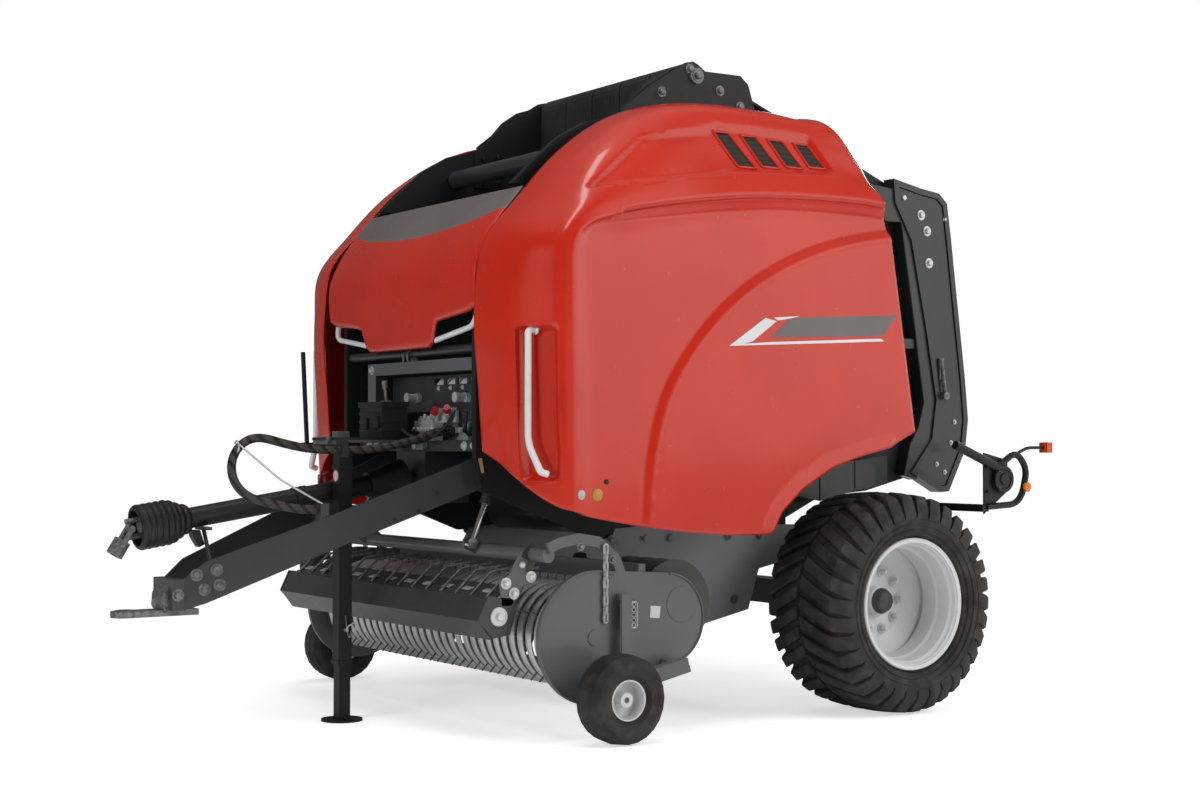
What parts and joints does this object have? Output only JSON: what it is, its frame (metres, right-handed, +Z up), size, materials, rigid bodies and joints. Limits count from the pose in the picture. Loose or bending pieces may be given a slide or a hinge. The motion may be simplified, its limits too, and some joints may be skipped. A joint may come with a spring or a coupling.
{
  "type": "round baler",
  "caption": "Towed round baler on its parking jack: pick-up with gauge wheels, wind guard, belt chamber, lifting tailgate, two side doors and a front hood",
  "frame": {"origin": "bottom centre of the bounding box, on the ground", "axes": "+X to the machine's left, +Y to its rear (hitch at -Y), +Z up"},
  "size_m": [2.771, 4.4331, 3.0262],
  "materials": {
    "red_paint": "gloss red enamel",
    "grey_paint": "satin mid grey enamel",
    "dark_paint": "satin anthracite enamel",
    "frame_paint": "satin anthracite enamel on the frame",
    "silver_paint": "silver wheel enamel",
    "galvanised": "galvanised steel",
    "plated": "bright plated steel",
    "belt_rubber": "textured black belt rubber",
    "tyre_rubber": "black tyre rubber",
    "black_plastic": "matt black plastic",
    "hose_rubber": "black hydraulic hose rubber",
    "lamp_plastic": "red and amber lamp plastic"
  },
  "bodies": {
    "frame": {"axle": "frame_paint", "side_walls": "dark_paint", "chassis": "frame_paint", "top_arms": "dark_paint", "fixed_rollers": "galvanised", "belts": "belt_rubber", "door_hinges": "frame_paint", "front_frame": "frame_paint", "drawbar": "frame_paint", "hitch_eye": "galvanised", "jack_sleeve": "galvanised", "shaft_guard": "black_plastic", "gearbox": "frame_paint", "shaft_holder": "galvanised", "console": "black_plastic", "valve_block": "galvanised", "stay_rod": "plated", "hose_loop": "hose_rubber", "hose_run": "hose_rubber", "lamp_carriers": "dark_paint", "rear_lamps": "lamp_plastic"},
    "wheel_left": {"tyre_left": "tyre_rubber", "rim_left": "silver_paint"},
    "wheel_right": {"tyre_right": "tyre_rubber", "rim_right": "silver_paint"},
    "pickup": {"pickup_frame": "dark_paint", "pickup_bands": "galvanised", "gauge_arms": "frame_paint"},
    "gauge_wheel_left": {"gauge_tyre_left": "tyre_rubber", "gauge_rim_left": "silver_paint"},
    "gauge_wheel_right": {"gauge_tyre_right": "tyre_rubber", "gauge_rim_right": "silver_paint"},
    "reel": {"pickup_reel": "galvanised"},
    "wind_guard": {"wind_guard": "galvanised"},
    "guard_roller": {"guard_roller": "dark_paint"},
    "feed_rotor": {"feed_rotor": "dark_paint"},
    "tailgate": {"tailgate_walls": "dark_paint", "tailgate_frame": "grey_paint", "tailgate_rollers": "galvanised", "tailgate_belts": "belt_rubber"},
    "door_left": {"cover_left": "red_paint", "door_handle_left": "plated"},
    "door_right": {"cover_right": "red_paint", "door_handle_right": "plated"},
    "hood": {"hood": "red_paint", "hood_handles": "plated"},
    "jack_leg": {"jack_leg": "galvanised"},
    "drive_shaft": {"drive_shaft": "galvanised"},
    "shaft_yoke": {"shaft_yoke": "galvanised"},
    "gate_barrel_left": {"gate_barrel_left": "frame_paint"},
    "gate_rod_left": {"gate_rod_left": "plated"},
    "lift_barrel_left": {"lift_barrel_left": "frame_paint"},
    "lift_rod_left": {"lift_rod_left": "plated"},
    "gate_barrel_right": {"gate_barrel_right": "frame_paint"},
    "gate_rod_right": {"gate_rod_right": "plated"},
    "lift_barrel_right": {"lift_barrel_right": "frame_paint"},
    "lift_rod_right": {"lift_rod_right": "plated"}
  },
  "joints": [
    {"name": "wheel_left_spin", "type": "hinge", "parent": "frame", "child": "wheel_left", "pos_m": [1.135, 1.05, 0.505], "axis": [1, 0, 0], "continuous": true},
    {"name": "wheel_right_spin", "type": "hinge", "parent": "frame", "child": "wheel_right", "pos_m": [-1.135, 1.05, 0.505], "axis": [1, 0, 0], "continuous": true},
    {"name": "pickup_lift", "type": "hinge", "parent": "frame", "child": "pickup", "pos_m": [0, -0.07, 0.54], "axis": [-1, 0, 0], "range_deg": [0, 10]},
    {"name": "gauge_wheel_left_spin", "type": "hinge", "parent": "pickup", "child": "gauge_wheel_left", "pos_m": [1.297, -0.524, 0.187], "axis": [1, 0, 0], "continuous": true},
    {"name": "gauge_wheel_right_spin", "type": "hinge", "parent": "pickup", "child": "gauge_wheel_right", "pos_m": [-1.297, -0.524, 0.187], "axis": [1, 0, 0], "continuous": true},
    {"name": "reel_spin", "type": "hinge", "parent": "pickup", "child": "reel", "pos_m": [0, -0.52, 0.42], "axis": [1, 0, 0], "continuous": true},
    {"name": "wind_guard_lift", "type": "hinge", "parent": "pickup", "child": "wind_guard", "pos_m": [0, -0.74, 0.77], "axis": [-1, 0, 0], "range_deg": [0, 25]},
    {"name": "guard_roller_spin", "type": "hinge", "parent": "wind_guard", "child": "guard_roller", "pos_m": [0, -0.916, 0.519], "axis": [1, 0, 0], "continuous": true},
    {"name": "feed_rotor_spin", "type": "hinge", "parent": "frame", "child": "feed_rotor", "pos_m": [0, -0.07, 0.54], "axis": [1, 0, 0], "continuous": true},
    {"name": "tailgate_lift", "type": "hinge", "parent": "frame", "child": "tailgate", "pos_m": [0, 1, 2.68], "axis": [1, 0, 0], "range_deg": [0, 60]},
    {"name": "door_left_open", "type": "hinge", "parent": "frame", "child": "door_left", "pos_m": [0.77, 0.3, 2.69], "axis": [0, -1, 0], "range_deg": [0, 70]},
    {"name": "door_right_open", "type": "hinge", "parent": "frame", "child": "door_right", "pos_m": [-0.77, 0.3, 2.69], "axis": [0, 1, 0], "range_deg": [0, 70]},
    {"name": "hood_open", "type": "hinge", "parent": "frame", "child": "hood", "pos_m": [0, -0.6, 2.27], "axis": [-1, 0, 0], "range_deg": [0, 60]},
    {"name": "jack_wind", "type": "slide", "parent": "frame", "child": "jack_leg", "axis": [0, 0, 1], "range_m": [0, 0.23]},
    {"name": "drive_shaft_spin", "type": "hinge", "parent": "frame", "child": "drive_shaft", "pos_m": [-0.045, -0.8, 1.078], "axis": [0, -0.9881, -0.154], "continuous": true},
    {"name": "yoke_swing", "type": "hinge", "parent": "drive_shaft", "child": "shaft_yoke", "pos_m": [-0.045, -2.1208, 0.8721], "axis": [1, 0, 0], "range_deg": [-50, 0]},
    {"name": "gate_barrel_left_swing", "type": "hinge", "parent": "frame", "child": "gate_barrel_left", "pos_m": [0.684, 0.63, 1.25], "axis": [1, 0, 0], "range_deg": [-3, 12]},
    {"name": "gate_rod_left_slide", "type": "slide", "parent": "gate_barrel_left", "child": "gate_rod_left", "axis": [0, 0.6039, 0.7971], "range_m": [-0.002, 0.572]},
    {"name": "lift_barrel_left_swing", "type": "hinge", "parent": "frame", "child": "lift_barrel_left", "pos_m": [0.55, -0.59, 1.335], "axis": [1, 0, 0], "range_deg": [-4, 4]},
    {"name": "lift_rod_left_slide", "type": "slide", "parent": "lift_barrel_left", "child": "lift_rod_left", "axis": [0, -0.3654, -0.9309], "range_m": [-0.145, 0.002]},
    {"name": "gate_barrel_right_swing", "type": "hinge", "parent": "frame", "child": "gate_barrel_right", "pos_m": [-0.684, 0.63, 1.25], "axis": [1, 0, 0], "range_deg": [-3, 12]},
    {"name": "gate_rod_right_slide", "type": "slide", "parent": "gate_barrel_right", "child": "gate_rod_right", "axis": [0, 0.6039, 0.7971], "range_m": [-0.002, 0.572]},
    {"name": "lift_barrel_right_swing", "type": "hinge", "parent": "frame", "child": "lift_barrel_right", "pos_m": [-0.55, -0.59, 1.335], "axis": [1, 0, 0], "range_deg": [-4, 4]},
    {"name": "lift_rod_right_slide", "type": "slide", "parent": "lift_barrel_right", "child": "lift_rod_right", "axis": [0, -0.3654, -0.9309], "range_m": [-0.145, 0.002]}
  ],
  "couplings": [
    {"joint": "gate_barrel_left_swing", "follows": "tailgate_lift", "ratio": 0.09506},
    {"joint": "gate_rod_left_slide", "follows": "tailgate_lift", "m_per_rad": 0.53665},
    {"joint": "lift_barrel_left_swing", "follows": "pickup_lift", "ratio": 0.09738},
    {"joint": "lift_rod_left_slide", "follows": "pickup_lift", "m_per_rad": -0.77239},
    {"joint": "gate_barrel_right_swing", "follows": "tailgate_lift", "ratio": 0.09506},
    {"joint": "gate_rod_right_slide", "follows": "tailgate_lift", "m_per_rad": 0.53665},
    {"joint": "lift_barrel_right_swing", "follows": "pickup_lift", "ratio": 0.09738},
    {"joint": "lift_rod_right_slide", "follows": "pickup_lift", "m_per_rad": -0.77239}
  ]
}
